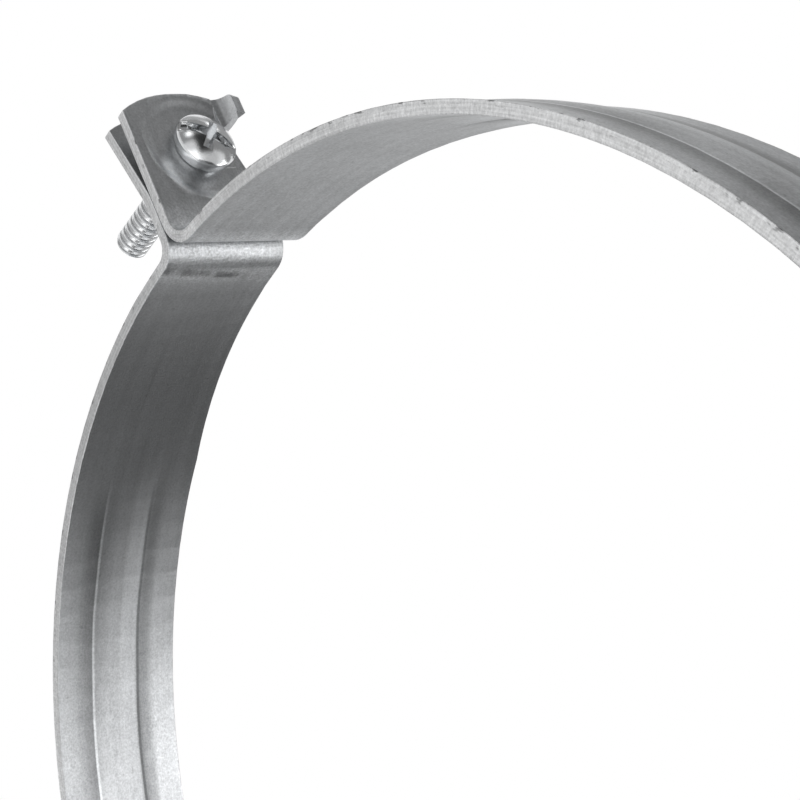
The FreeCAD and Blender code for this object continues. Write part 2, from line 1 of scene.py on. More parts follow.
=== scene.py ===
import bpy
import bmesh
import math
from mathutils import Matrix, Vector
from mathutils.bvhtree import BVHTree


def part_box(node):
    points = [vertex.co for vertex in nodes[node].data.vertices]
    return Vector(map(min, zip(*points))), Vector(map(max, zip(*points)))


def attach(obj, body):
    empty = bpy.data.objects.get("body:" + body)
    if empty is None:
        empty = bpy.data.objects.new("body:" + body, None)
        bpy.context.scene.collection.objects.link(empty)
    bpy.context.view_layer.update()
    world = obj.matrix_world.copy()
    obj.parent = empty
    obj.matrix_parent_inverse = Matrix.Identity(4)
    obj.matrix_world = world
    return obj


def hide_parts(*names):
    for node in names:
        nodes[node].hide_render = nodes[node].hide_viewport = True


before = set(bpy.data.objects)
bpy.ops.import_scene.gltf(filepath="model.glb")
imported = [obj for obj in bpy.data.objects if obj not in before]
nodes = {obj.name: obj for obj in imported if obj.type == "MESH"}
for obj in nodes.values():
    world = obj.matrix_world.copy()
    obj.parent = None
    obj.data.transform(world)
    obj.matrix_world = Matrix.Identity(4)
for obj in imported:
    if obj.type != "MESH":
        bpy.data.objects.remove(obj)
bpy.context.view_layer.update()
mm = 0.001
print("frame loaded:", sorted(nodes))


# small helpers for node trees

def addNode(tree, kind, **settings):
    made = tree.nodes.new(kind)
    for key, value in settings.items():
        setattr(made, key, value)
    return made


def feed(tree, socket, value):  # a socket is linked, anything else becomes the default
    if hasattr(value, "is_output"):
        tree.links.new(value, socket)
    else:
        socket.default_value = value


def calc(tree, operation, first, second=None, third=None):
    made = addNode(tree, "ShaderNodeMath", operation=operation)
    for index, value in enumerate((first, second, third)):
        if value is not None:
            feed(tree, made.inputs[index], value)
    return made.outputs[0]


def times(tree, first, second):
    return calc(tree, "MULTIPLY", first, second)


def plus(tree, first, second):
    return calc(tree, "ADD", first, second)


def minus(tree, first, second):
    return calc(tree, "SUBTRACT", first, second)


def larger(tree, first, second):
    return calc(tree, "MAXIMUM", first, second)


def timesPlus(tree, value, gain, base):
    return calc(tree, "MULTIPLY_ADD", value, gain, base)


def sway(tree, value, gain, base):  # spreads a value round one half about the base
    return timesPlus(tree, minus(tree, value, 0.5), gain, base)


def span(tree, first, second):  # length across two sides at a right angle
    return calc(tree, "SQRT", plus(tree, times(tree, first, first), times(tree, second, second)))


def ramp(tree, value, low, high, outLow=0.0, outHigh=1.0):  # soft step between two levels
    made = addNode(tree, "ShaderNodeMapRange", interpolation_type="SMOOTHSTEP")
    feed(tree, made.inputs["Value"], value)
    made.inputs["From Min"].default_value = low
    made.inputs["From Max"].default_value = high
    made.inputs["To Min"].default_value = outLow
    made.inputs["To Max"].default_value = outHigh
    return made.outputs["Result"]


def fadeOut(tree, value, low, high, top=1.0):
    return ramp(tree, value, low, high, top, 0.0)


def noise(tree, vector, scale, detail, rough, distortion=0.0):
    made = addNode(tree, "ShaderNodeTexNoise", noise_dimensions="3D")
    feed(tree, made.inputs["Vector"], vector)
    feed(tree, made.inputs["Scale"], scale)
    made.inputs["Detail"].default_value = detail
    made.inputs["Roughness"].default_value = rough
    made.inputs["Distortion"].default_value = distortion
    return made.outputs["Fac"]


def combine(tree, x, y, z):
    made = addNode(tree, "ShaderNodeCombineXYZ")
    for index, value in enumerate((x, y, z)):
        feed(tree, made.inputs[index], value)
    return made.outputs[0]


def pattern(tree, first, second, spec):  # noise stretched along two directions of the strip
    stretchFirst, stretchSecond = spec["stretch"]
    place = combine(tree, times(tree, first, stretchFirst), times(tree, second, stretchSecond), spec["seed"])
    return noise(tree, place, spec["scale"], spec["detail"], spec["rough"])


def blendColor(tree, factor, first, second, mode="MIX"):
    made = addNode(tree, "ShaderNodeMix", data_type="RGBA", blend_type=mode)
    feed(tree, made.inputs["Factor"], factor)
    feed(tree, made.inputs[6], first)
    feed(tree, made.inputs[7], second)
    return made.outputs[2]


def shaded(tree, color, shade):  # a colour times a shade round 1
    return blendColor(tree, 1.0, color, combine(tree, shade, shade, shade), "MULTIPLY")


def placeInMm(tree):
    place = addNode(tree, "ShaderNodeTexCoord")
    parts = addNode(tree, "ShaderNodeSeparateXYZ")
    tree.links.new(place.outputs["Object"], parts.inputs[0])
    return [times(tree, part, 1000.0) for part in parts.outputs]


def newGroup(name, inputs, outputs):
    group = bpy.data.node_groups.new(name, "ShaderNodeTree")
    for label, default in inputs.items():
        socket = group.interface.new_socket(label, in_out="INPUT", socket_type="NodeSocketFloat")
        socket.default_value = default
    for label in outputs:
        group.interface.new_socket(label, in_out="OUTPUT", socket_type="NodeSocketFloat")
    start = addNode(group, "NodeGroupInput")
    end = addNode(group, "NodeGroupOutput")
    return group, start, end


def putOut(group, end, **values):
    for label, value in values.items():
        group.links.new(value, end.inputs[label])


def useGroup(tree, group, **values):
    made = addNode(tree, "ShaderNodeGroup", node_tree=group)
    for label, value in values.items():
        feed(tree, made.inputs[label], value)
    return made


def newMaterial(name):
    made = bpy.data.materials.new(name)
    made.use_nodes = True
    tree = made.node_tree
    return made, tree, tree.nodes["Principled BSDF"]


def finishMetal(tree, shader, color, rough, height, look):
    tree.links.new(color, shader.inputs["Base Color"])
    tree.links.new(rough, shader.inputs["Roughness"])
    shader.inputs["Metallic"].default_value = 1.0
    bump = addNode(tree, "ShaderNodeBump")
    bump.inputs["Strength"].default_value = look["bump"]
    bump.inputs["Distance"].default_value = look["bumpDistance"]
    tree.links.new(height, bump.inputs["Height"])
    tree.links.new(bump.outputs["Normal"], shader.inputs["Normal"])


# shared effects, lengths in millimetres

stripForm = {
    "bore": 102.5,
    "middle": 103.5,
    "bandFrom": 0.96,  # share of the fold's radius where the band begins
    "foldLift": (5.5, 8.5),
    "foldFrom": (99.0, 101.5),
    "foldTo": (108.0, 113.0),
}


def makeSheetPlace(spec):
    # a point's place on the folded strip: through the sheet, along, across, in the fold, off the split
    group, start, end = newGroup(
        "sheetPlace",
        {"foldX": 107.0, "foldOuter": 4.5, "landX": 114.0, "slope": 0.0},
        ["Depth", "Along", "Across", "Fold", "Lift"],
    )
    foldOuter = start.outputs["foldOuter"]
    x, y, z = placeInMm(group)
    sideX = calc(group, "ABSOLUTE", x)
    beyondLand = larger(group, minus(group, sideX, start.outputs["landX"]), 0.0)
    lean = times(group, beyondLand, start.outputs["slope"])
    lift = minus(group, calc(group, "ABSOLUTE", z), lean)
    bandDepth = minus(group, span(group, x, z), spec["bore"])
    shortX = calc(group, "MINIMUM", minus(group, sideX, start.outputs["foldX"]), 0.0)
    shortZ = calc(group, "MINIMUM", minus(group, lift, foldOuter), 0.0)
    foldDepth = minus(group, foldOuter, span(group, shortX, shortZ))
    onBand = calc(group, "GREATER_THAN", lift, times(group, foldOuter, spec["bandFrom"]))
    onEar = minus(group, 1.0, onBand)
    depth = plus(group, times(group, bandDepth, onBand), times(group, foldDepth, onEar))
    turn = times(group, calc(group, "ARCTAN2", z, x), spec["middle"])
    outward = times(group, minus(group, sideX, spec["bore"]), onEar)
    bent = times(group, fadeOut(group, lift, *spec["foldLift"]), ramp(group, sideX, *spec["foldFrom"]))
    bent = times(group, bent, fadeOut(group, sideX, *spec["foldTo"]))
    putOut(group, end, Depth=depth, Along=plus(group, turn, outward), Across=y, Fold=bent, Lift=lift)
    return group


grainForm = {
    "speck": {"detail": 3.0, "rough": 0.62},
    "fleck": {"scale": 780.0, "detail": 3.0, "rough": 0.6},
    "cloud": {"scale": 75.0, "detail": 3.0, "rough": 0.55, "distortion": 0.4},
    "speckGain": 0.56,
    "fleckGain": 0.20,
    "cloudGain": 0.26,
    "roughGain": -0.22,
    "fleckHeight": 0.7,
}


def makeZincGrain(spec):
    # mottled grain of dull zinc: a shade round 1, a change of roughness and a height
    group, start, end = newGroup(
        "zincGrain",
        {"contrast": 1.0, "grainScale": 2400.0},
        ["Shade", "Rough", "Height"],
    )
    place = addNode(group, "ShaderNodeTexCoord").outputs["Object"]
    speck = noise(group, place, start.outputs["grainScale"], **spec["speck"])
    fleck = noise(group, place, **spec["fleck"])
    cloud = noise(group, place, **spec["cloud"])
    total = sway(group, speck, spec["speckGain"], 0.0)
    total = sway(group, fleck, spec["fleckGain"], total)
    total = sway(group, cloud, spec["cloudGain"], total)
    total = times(group, total, start.outputs["contrast"])
    height = plus(group, speck, times(group, fleck, spec["fleckHeight"]))
    rough = times(group, total, spec["roughGain"])
    putOut(group, end, Shade=plus(group, total, 1.0), Rough=rough, Height=height)
    return group


rollForm = {
    "streak": {"stretch": (0.012, 0.55), "seed": 3.1, "scale": 1.0, "detail": 3.0, "rough": 0.55},
    "scratch": {"stretch": (0.05, 5.0), "seed": 8.7, "scale": 1.0, "detail": 2.0, "rough": 0.6},
    "scratchFrom": (0.60, 0.74),
}


def makeRollStreaks(spec):
    # faint lengthwise lines left by rolling, from the place along and across the strip
    group, start, end = newGroup("rollStreaks", {"along": 0.0, "across": 0.0}, ["Streak", "Scratch"])
    along = start.outputs["along"]
    across = start.outputs["across"]
    streak = pattern(group, along, across, spec["streak"])
    scratch = ramp(group, pattern(group, along, across, spec["scratch"]), *spec["scratchFrom"])
    putOut(group, end, Streak=streak, Scratch=scratch)
    return group


cutForm = {
    "facing": (0.55, 0.85),
    "lipX": 125.5,
    "lipY": 5.5,
    "tear": {"stretch": (2.2, 0.5), "seed": 1.7, "scale": 1.0, "detail": 3.0, "rough": 0.6},
    "pit": {"stretch": (0.55, 1.3), "seed": 5.2, "scale": 1.0, "detail": 2.0, "rough": 0.5},
    "line": {"stretch": (0.06, 3.2), "seed": 2.9, "scale": 1.0, "detail": 3.0, "rough": 0.6},
    "pitFrom": (0.60, 0.70),
    "pitDepth": (1.0, 1.6),
    "rimDepth": (1.80, 1.97),
    "tearGain": 0.5,
    "lineGain": 0.7,
    "pitShade": -0.55,
    "rimShade": -0.35,
}


def makeShearedEdge(spec):
    # cut side of the strip: a mask that leaves out the lip, its own shade and a torn height
    group, start, end = newGroup("shearedEdge", {"depth": 0.0, "along": 0.0}, ["Mask", "Shade", "Height"])
    along = start.outputs["along"]
    depth = start.outputs["depth"]
    facing = addNode(group, "ShaderNodeSeparateXYZ")
    group.links.new(addNode(group, "ShaderNodeTexCoord").outputs["Normal"], facing.inputs[0])
    sideways = ramp(group, calc(group, "ABSOLUTE", facing.outputs[1]), *spec["facing"])
    x, y = placeInMm(group)[:2]
    pastLipX = calc(group, "GREATER_THAN", x, spec["lipX"])
    pastLipY = calc(group, "GREATER_THAN", y, spec["lipY"])
    offLip = minus(group, 1.0, times(group, pastLipX, pastLipY))
    tear = pattern(group, along, depth, spec["tear"])
    pit = ramp(group, pattern(group, along, depth, spec["pit"]), *spec["pitFrom"])
    pit = times(group, pit, ramp(group, depth, *spec["pitDepth"]))
    shade = sway(group, tear, spec["tearGain"], 1.0)
    shade = sway(group, pattern(group, along, depth, spec["line"]), spec["lineGain"], shade)
    shade = timesPlus(group, pit, spec["pitShade"], shade)
    shade = timesPlus(group, ramp(group, depth, *spec["rimDepth"]), spec["rimShade"], shade)
    putOut(group, end, Mask=times(group, sideways, offLip), Shade=shade, Height=tear)
    return group


stainAndShadeForm = {
    "smearShadeAcross": 0.4,
    "smearShadeLift": 5.7,
    "smearShadeNarrow": 0.21,
    "smearShadeTear": {"stretch": (1.3, 0.8), "seed": 4.4, "scale": 1.0, "detail": 3.0, "rough": 0.6},
    "smearShadeRagged": 1.6,
    "smearShadeFade": (0.15, 0.95),
    "grimeShadeLift": 6.3,
    "grimeShadeTear": {"stretch": (1.3, 0.8), "seed": 4.4, "scale": 1.4, "detail": 3.0, "rough": 0.6},
    "grimeShadeRagged": 1.8,
    "grimeShadeSlope": -0.10,
    "grimeShadeFade": (0.2, 1.3, 0.8),
    "patch": {"stretch": (0.45, 0.0), "seed": 2.3, "scale": 1.0, "detail": 2.0, "rough": 0.5},
    "patchFrom": (0.38, 0.60, 0.1, 1.0),
    "grimeShadeAcross": (1.0, 6.0, 1.0, 0.3),
    "gapLift": (0.15, 0.45, 0.80),
    "speck": {"stretch": (1.0, 1.0), "seed": 9.3, "scale": 1.1, "detail": 2.0, "rough": 0.5},
    "speckFrom": (0.68, 0.74),
}


def makeStainsAndShade(spec):
    # a dark smear and a broken line of grime beside the fold, both partly stain and partly painted shade
    # under the fold; painted shade on the ear faces between the ears; and small specks
    group, start, end = newGroup("stainsAndShade", {"along": 0.0, "across": 0.0, "lift": 0.0}, ["Smear", "Speck"])
    along = start.outputs["along"]
    across = start.outputs["across"]
    lift = start.outputs["lift"]
    smearShadeLong = times(group, minus(group, across, spec["smearShadeAcross"]), spec["smearShadeNarrow"])
    away = span(group, smearShadeLong, minus(group, lift, spec["smearShadeLift"]))
    away = sway(group, pattern(group, lift, across, spec["smearShadeTear"]), spec["smearShadeRagged"], away)
    stainAndShade = fadeOut(group, away, *spec["smearShadeFade"])
    ragged = timesPlus(group, pattern(group, lift, across, spec["grimeShadeTear"]), spec["grimeShadeRagged"], lift)
    ragged = timesPlus(group, across, spec["grimeShadeSlope"], ragged)
    offLine = calc(group, "ABSOLUTE", minus(group, ragged, spec["grimeShadeLift"]))
    grimeAndShade = fadeOut(group, offLine, *spec["grimeShadeFade"])
    grimeAndShade = times(group, grimeAndShade, ramp(group, pattern(group, across, lift, spec["patch"]), *spec["patchFrom"]))
    grimeAndShade = times(group, grimeAndShade, ramp(group, across, *spec["grimeShadeAcross"]))
    # joins the smear and grime line with painted shade on the ear faces between the ears, where the lift is
    # small
    stainAndShade = larger(group, larger(group, stainAndShade, grimeAndShade), fadeOut(group, lift, *spec["gapLift"]))
    speck = ramp(group, pattern(group, along, across, spec["speck"]), *spec["speckFrom"])
    putOut(group, end, Smear=stainAndShade, Speck=speck)
    return group


# painted shade and highlights along the rib
ribPaintedLightForm = {
    "lift": (48.0, 62.0),
    "wander": {"stretch": (0.05, 0.0), "seed": 6.1, "scale": 1.0, "detail": 2.0, "rough": 0.5},
    "wanderGain": 0.5,
    "line": 4.75,
    "farLine": (0.10, 0.36),
    "nearLine": (0.10, 0.40),
    "nearShoulder": (-10.5, -5.4, 0.0, 0.95),
    "nearShoulderEnd": (-5.2, -4.9),
    "floor": (-4.5, 0.0, 0.30),
    "floorStart": (-4.9, -4.5),
    "farShoulder": (5.4, 8.4, 0.62),
    "farShoulderStart": (4.8, 5.1),
    "farFlat": (6.8, 9.0, 0.0, 0.45),
    "gleam": (0.0, 3.2, 0.0, 0.75),
    "gleamEnd": (3.9, 4.6),
}


def makeRibPaintedLight(spec):
    # painted shade on the rib's shoulders, the near half of its floor and its far line, and painted
    # highlights on its near line, the far half of its floor and the far flat
    group, start, end = newGroup("ribPaintedLight", {"along": 0.0, "across": 0.0, "lift": 0.0}, ["Dark", "Light"])
    across = start.outputs["across"]
    drift = pattern(group, start.outputs["along"], across, spec["wander"])
    place = timesPlus(group, drift, spec["wanderGain"], across)
    onRib = ramp(group, start.outputs["lift"], *spec["lift"])
    farLine = fadeOut(group, calc(group, "ABSOLUTE", minus(group, place, spec["line"])), *spec["farLine"])
    nearLine = fadeOut(group, calc(group, "ABSOLUTE", plus(group, place, spec["line"])), *spec["nearLine"])
    nearShoulder = ramp(group, place, *spec["nearShoulder"])
    nearShoulder = times(group, nearShoulder, fadeOut(group, place, *spec["nearShoulderEnd"]))
    floor = times(group, fadeOut(group, place, *spec["floor"]), ramp(group, place, *spec["floorStart"]))
    farShoulder = fadeOut(group, place, *spec["farShoulder"])
    farShoulder = times(group, farShoulder, ramp(group, place, *spec["farShoulderStart"]))
    dark = plus(group, larger(group, farLine, nearShoulder), plus(group, floor, farShoulder))
    gleam = times(group, ramp(group, place, *spec["gleam"]), fadeOut(group, place, *spec["gleamEnd"]))
    light = larger(group, larger(group, nearLine, ramp(group, place, *spec["farFlat"])), gleam)
    putOut(group, end, Dark=times(group, dark, onRib), Light=times(group, light, onRib))
    return group


sheetPlace = makeSheetPlace(stripForm)
zincGrain = makeZincGrain(grainForm)
rollStreaks = makeRollStreaks(rollForm)
shearedEdge = makeShearedEdge(cutForm)
stainsAndShade = makeStainsAndShade(stainAndShadeForm)
ribPaintedLight = makeRibPaintedLight(ribPaintedLightForm)
print("shared effects made")

# band steel: galvanised strip with a duller skin and lighter cut sides

bandLook = {
    "skin": (0.50, 0.51, 0.52, 1.0),
    "cut": (0.66, 0.665, 0.67, 1.0),
    "grainScale": 2400.0,
    "contrast": 1.30,
    "foldContrast": 0.7,
    # painted shine on the fold roll
    "foldPaintedShine": 0.28,
    "streakGain": 0.4,
    "speckShade": -0.15,
    "ribPaintedShade": -0.55,
    "ribPaintedHighlight": 0.35,
    "rough": 0.38,
    "foldRough": 0.05,
    "scratchRough": -0.06,
    "cutRise": 3.0,
    "flatRise": 0.30,
    "bump": 0.40,
    "bumpDistance": 0.0002,
}
baseStrip = {
    "fold": {"foldX": 106.91, "foldOuter": 4.5, "landX": 114.0, "slope": 0.2126},
    "stainAndShade": -0.6,
    "hasCup": False,
}
coverStrip = {
    "fold": {"foldX": 108.33, "foldOuter": 6.0, "landX": 114.0, "slope": 0.0},
    "stainAndShade": 0.0,
    "hasCup": True,
}
# painted highlight on the cup wall of the cover's ears
cupPaintedHighlight = {
    "centerX": 118.5,
    "centerY": -2.5,
    "ringStart": (3.7, 4.9),
    "ringEnd": (5.5, 6.9),
    "wayX": -0.27,
    "wayY": -0.96,
    "spread": (0.58, 0.88),
    "gain": 0.95,
    "least": 0.1,
}


def makeCupPaintedHighlight(tree, spec):  # painted highlight on the wall of the pressed cup, on its side towards the fold
    x, y = placeInMm(tree)[:2]
    sideX = minus(tree, calc(tree, "ABSOLUTE", x), spec["centerX"])
    sideY = minus(tree, y, spec["centerY"])
    away = span(tree, sideX, sideY)
    ring = times(tree, ramp(tree, away, *spec["ringStart"]), fadeOut(tree, away, *spec["ringEnd"]))
    toward = timesPlus(tree, sideX, spec["wayX"], times(tree, sideY, spec["wayY"]))
    toward = calc(tree, "DIVIDE", toward, larger(tree, away, spec["least"]))
    return times(tree, ring, ramp(tree, toward, *spec["spread"]))


def makeBandSteel(name, look, strip):
    material, tree, shader = newMaterial(name)
    place = useGroup(tree, sheetPlace, **strip["fold"])
    depth = place.outputs["Depth"]
    along = place.outputs["Along"]
    across = place.outputs["Across"]
    bent = place.outputs["Fold"]
    lift = place.outputs["Lift"]
    contrast = timesPlus(tree, bent, look["foldContrast"], look["contrast"])
    grain = useGroup(tree, zincGrain, contrast=contrast, grainScale=look["grainScale"])
    rolled = useGroup(tree, rollStreaks, along=along, across=across)
    cut = useGroup(tree, shearedEdge, depth=depth, along=along)
    stainsShaded = useGroup(tree, stainsAndShade, along=along, across=across, lift=lift)
    pressed = useGroup(tree, ribPaintedLight, along=along, across=across, lift=lift)
    # scales of the skin's colour: painted shine on the fold, stain and painted shade beside the fold and
    # between the ears, specks, painted shade and highlights along the rib, and a painted highlight on the
    # cup
    marks = [
        (bent, look["foldPaintedShine"]),
        (stainsShaded.outputs["Smear"], strip["stainAndShade"]),
        (stainsShaded.outputs["Speck"], look["speckShade"]),
        (pressed.outputs["Dark"], look["ribPaintedShade"]),
        (pressed.outputs["Light"], look["ribPaintedHighlight"]),
    ]
    if strip["hasCup"]:
        marks.append((makeCupPaintedHighlight(tree, cupPaintedHighlight), cupPaintedHighlight["gain"]))
    skinShade = sway(tree, rolled.outputs["Streak"], look["streakGain"], 1.0)
    skinShade = times(tree, grain.outputs["Shade"], skinShade)
    for mark, gain in marks:
        skinShade = times(tree, skinShade, timesPlus(tree, mark, gain, 1.0))
    cutShade = times(tree, cut.outputs["Shade"], grain.outputs["Shade"])
    skin = shaded(tree, look["skin"], skinShade)
    side = shaded(tree, look["cut"], cutShade)
    color = blendColor(tree, cut.outputs["Mask"], skin, side)
    rough = plus(tree, grain.outputs["Rough"], look["rough"])
    rough = timesPlus(tree, rolled.outputs["Scratch"], look["scratchRough"], rough)
    rough = timesPlus(tree, bent, look["foldRough"], rough)
    torn = times(tree, cut.outputs["Height"], cut.outputs["Mask"])
    rise = timesPlus(tree, torn, look["cutRise"], grain.outputs["Height"])
    rise = times(tree, rise, timesPlus(tree, bent, 1.0 - look["flatRise"], look["flatRise"]))
    finishMetal(tree, shader, color, rough, rise, look)
    return material


baseSteel = makeBandSteel("baseSteel", bandLook, baseStrip)
coverSteel = makeBandSteel("coverSteel", bandLook, coverStrip)

# bright zinc of the closure screws, with painted shade in the thread's roots

screwLook = {
    "zinc": (0.74, 0.75, 0.76, 1.0),
    "contrast": 0.35,
    "grainScale": 3600.0,
    "axisX": 123.0,
    "root": 2.55,
    "crest": 2.95,
    "rootShade": 0.50,
    "shankFrom": (-1.1, -1.0),
    "rough": 0.15,
    "shankRough": 0.12,
    "bump": 0.05,
    "bumpDistance": 0.0001,
}


def makeScrewZinc(look):
    material, tree, shader = newMaterial("screwZinc")
    grain = useGroup(tree, zincGrain, contrast=look["contrast"], grainScale=look["grainScale"])
    x, y, z = placeInMm(tree)
    away = span(tree, minus(tree, calc(tree, "ABSOLUTE", x), look["axisX"]), y)
    # painted shade: the zinc is darker towards the thread's roots
    rootShade = ramp(tree, away, look["root"], look["crest"], look["rootShade"], 1.0)
    onShank = ramp(tree, z, *look["shankFrom"])
    shade = plus(tree, times(tree, rootShade, onShank), minus(tree, 1.0, onShank))
    shade = times(tree, shade, grain.outputs["Shade"])
    rough = timesPlus(tree, onShank, look["shankRough"], look["rough"])
    rough = plus(tree, grain.outputs["Rough"], rough)
    finishMetal(tree, shader, shaded(tree, look["zinc"], shade), rough, grain.outputs["Height"], look)
    return material


screwZinc = makeScrewZinc(screwLook)

# nut steel: plain turned steel with a thin zinc coat

nutLook = {
    "steel": (0.56, 0.565, 0.57, 1.0),
    "contrast": 0.8,
    "grainScale": 1800.0,
    "rough": 0.33,
    "bump": 0.12,
    "bumpDistance": 0.0002,
}


def makeNutSteel(look):
    material, tree, shader = newMaterial("nutSteel")
    grain = useGroup(tree, zincGrain, contrast=look["contrast"], grainScale=look["grainScale"])
    color = shaded(tree, look["steel"], grain.outputs["Shade"])
    rough = plus(tree, grain.outputs["Rough"], look["rough"])
    finishMetal(tree, shader, color, rough, grain.outputs["Height"], look)
    return material


nutSteel = makeNutSteel(nutLook)
print("finishes made")


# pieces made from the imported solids

solidCopy = {"weld": 1e-7, "flatAngle": 0.4, "cutSnap": 2e-5, "normalWeight": 80}


def startFrom(nodeName):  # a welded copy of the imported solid, flats merged
    bm = bmesh.new()
    bm.from_mesh(nodes[nodeName].data)
    bmesh.ops.remove_doubles(bm, verts=bm.verts, dist=solidCopy["weld"])
    flat = math.radians(solidCopy["flatAngle"])
    bmesh.ops.dissolve_limit(bm, angle_limit=flat, verts=bm.verts[:], edges=bm.edges[:])
    return bm


def edgeMiddle(edge):
    return (edge.verts[0].co + edge.verts[1].co) / 2.0


def roundEdges(bm, width, segments, angle, chosen):  # rounds the sharp edges whose middle is chosen
    least = math.radians(angle)
    sharp = []
    for edge in bm.edges:
        if len(edge.link_faces) == 2 and edge.calc_face_angle(0.0) > least and chosen(edgeMiddle(edge)):
            sharp.append(edge)
    bmesh.ops.bevel(
        bm, geom=sharp, offset=width, segments=segments, profile=0.5, affect="EDGES", clamp_overlap=False
    )


def cutFaces(bm, faces, point, normal):  # cuts only these faces by a plane
    edges = {edge for face in faces for edge in face.edges}
    verts = {vert for face in faces for vert in face.verts}
    geom = list(verts) + list(edges) + faces
    bmesh.ops.bisect_plane(bm, geom=geom, dist=solidCopy["cutSnap"], plane_co=point, plane_no=normal)


def within(value):  # held between 0 and 1
    return min(max(value, 0.0), 1.0)


def softStep(share):
    return share * share * (3.0 - 2.0 * share)


def finishPiece(bm, nodeName, pieceName, material):
    low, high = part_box(nodeName)
    for vert in bm.verts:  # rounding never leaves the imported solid's box
        for axis in range(3):
            vert.co[axis] = min(max(vert.co[axis], low[axis]), high[axis])
    mesh = bpy.data.meshes.new(pieceName)
    bm.to_mesh(mesh)
    bm.free()
    mesh.materials.clear()
    mesh.materials.append(material)
    for polygon in mesh.polygons:
        polygon.use_smooth = True
        polygon.material_index = 0
    piece = bpy.data.objects.new(pieceName, mesh)
    bpy.context.scene.collection.objects.link(piece)
    even = piece.modifiers.new("evenNormals", "WEIGHTED_NORMAL")
    even.weight = solidCopy["normalWeight"]
    even.keep_sharp = True
    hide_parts(nodeName)
    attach(piece, "root")
    return piece


# strip halves with rounded edges, a softly pressed cup and a shallow rib

stripEdge = {
    "width": 0.26 * mm,
    "segments": 3,
    "fineWidth": 0.06 * mm,
    "fineSegments": 1,
    "angle": 32,
    "lipX": 117.0 * mm,
    "lipY": 0.5 * mm,
    "lipTop": 0.5 * mm,
}
softCup = {
    "axisX": 123.0 * mm,
    "depth": 0.8 * mm,
    "coneFrom": 7.8 * mm,
    "coneTo": 11.8 * mm,
    "softFrom": 6.9 * mm,
    "softTo": 12.5 * mm,
    "earFrom": 110.0 * mm,
    "earTo": 135.0 * mm,
    "facing": -0.9,
    "front": -2.1 * mm,
    "floor": -1.1 * mm,
    "lipY": 5.9 * mm,
    "grid": 0.7 * mm,
    "gridShift": 0.37,
    "halfWidth": 12.5 * mm,
}


def onLip(middle):  # the cover's slot and lip have short edges and take a finer round
    onSide = middle.x > stripEdge["lipX"] and middle.y > stripEdge["lipY"]
    return onSide and middle.z < stripEdge["lipTop"]


def earFront(bm, spec):  # faces of the pressed front of both ears
    found = []
    for face in bm.faces:
        middle = face.calc_center_median()
        flat = face.normal.z < spec["facing"] and spec["front"] < middle.z < spec["floor"]
        if flat and abs(middle.x) > spec["earFrom"] and middle.y < spec["lipY"]:
            found.append(face)
    return found


def cutGrid(bm, spec, axis, low, high):
    count = int((high - low) / spec["grid"])
    for index in range(count + 1):
        point = Vector((0.0, 0.0, 0.0))
        normal = Vector((0.0, 0.0, 0.0))
        point[axis] = low + (high - low) * (index + spec["gridShift"]) / (count + 1)
        normal[axis] = 1.0
        cutFaces(bm, earFront(bm, spec), point, normal)


def pressCup(bm, spec):  # swaps the straight wall of the cup for a soft S
    bmesh.ops.triangulate(bm, faces=earFront(bm, spec))
    cutGrid(bm, spec, 0, spec["earFrom"], spec["earTo"])
    cutGrid(bm, spec, 0, -spec["earTo"], -spec["earFrom"])
    cutGrid(bm, spec, 1, -spec["halfWidth"], spec["halfWidth"])
    verts = {vert for face in earFront(bm, spec) for vert in face.verts}
    for vert in verts:
        away = math.hypot(abs(vert.co.x) - spec["axisX"], vert.co.y)
        straight = within((spec["coneTo"] - away) / (spec["coneTo"] - spec["coneFrom"]))
        soft = softStep(within((spec["softTo"] - away) / (spec["softTo"] - spec["softFrom"])))
        vert.co.z += (soft - straight) * spec["depth"]


ribForm = {
    "inner": 102.5 * mm,
    "outer": 104.5 * mm,
    "skinSlack": 0.4 * mm,
    "facing": 0.6,
    "fullHeight": 1.0 * mm,
    "depth": 0.16 * mm,
    "arch": 0.26 * mm,
    "half": 4.7 * mm,
    "wall": 1.1 * mm,
    "shoulder": 9.2 * mm,
    "farFloor": 0.6,
    "startLift": 12.0 * mm,
    "cuts": (0.0, 1.2, 2.3, 3.3, 3.9, 4.2, 4.5, 4.85, 5.25, 6.0, 6.8, 7.6, 8.4, 9.2),
    "fromDegree": 6,
    "toDegree": 175,
    "step": 3,
    "probe": 90.0 * mm,
}


def bandSkin(bm, spec, outward):  # faces of the pipe side or of the outside of the band
    middleSkin = (spec["inner"] + spec["outer"]) / 2.0
    found = []
    for face in bm.faces:
        middle = face.calc_center_median()
        reach = math.hypot(middle.x, middle.z)
        if abs(middle.z) < spec["startLift"]:
            continue
        facing = (face.normal.x * middle.x + face.normal.z * middle.z) / reach
        if outward:
            wanted = facing > spec["facing"] and reach > middleSkin
        else:
            wanted = facing < -spec["facing"] and reach < middleSkin + spec["skinSlack"]
        if wanted:
            found.append(face)
    return found


def ribTable(bm, spec, side):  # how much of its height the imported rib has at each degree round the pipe
    tree = BVHTree.FromBMesh(bm)
    table = []
    for degree in range(181):
        angle = math.radians(side * degree)
        way = Vector((math.cos(angle), 0.0, math.sin(angle)))
        hit = tree.ray_cast(way * spec["probe"], way)[0]
        table.append(within((hit.length - spec["inner"]) / spec["fullHeight"]))
    return table


def ribRise(y, spec):  # height of the shown rib across the band, softer on the near side
    step = softStep(within((spec["half"] - abs(y)) / spec["wall"] + 0.5))
    slope = within((spec["shoulder"] - abs(y)) / (spec["shoulder"] - spec["half"]))
    soft = slope * slope
    floor = soft if y < 0.0 else spec["farFloor"] * step + (1.0 - spec["farFloor"]) * soft
    arch = max(0.0, 1.0 - (y / spec["half"]) ** 2)
    return floor * spec["depth"] + arch * spec["arch"]


